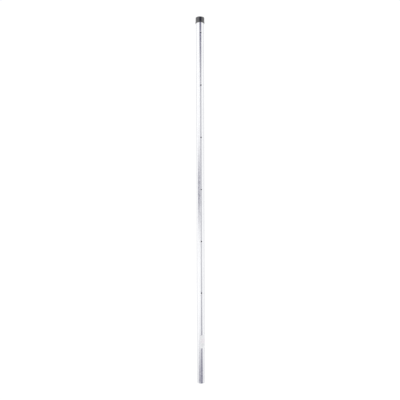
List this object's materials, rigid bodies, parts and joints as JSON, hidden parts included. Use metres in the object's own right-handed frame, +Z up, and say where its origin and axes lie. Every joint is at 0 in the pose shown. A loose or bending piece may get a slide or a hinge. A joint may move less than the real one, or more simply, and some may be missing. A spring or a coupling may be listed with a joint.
{
  "type": "electric fence corner post",
  "caption": "Round galvanised steel tube post for electric fencing, with a straight row of through holes for insulators, a black push-on end cap and a sticker near the foot.",
  "frame": {"origin": "centre of the tube's lower end face, which stands in the ground", "axes": "+Z up along the tube's axis; the row of insulator holes runs along Y and faces -Y; +X to the right when the row is faced"},
  "size_m": [0.0436, 0.0436, 1.765],
  "materials": {
    "galvanised_steel": "bright hot-dip galvanised steel tube with a fine spangle and faint drawing lines",
    "black_plastic": "smooth satin-gloss black moulded plastic",
    "sticker_film": null
  },
  "bodies": {
    "root": {"post_tube": "galvanised_steel", "end_cap": "black_plastic", "sticker": "sticker_film"}
  },
  "joints": []
}
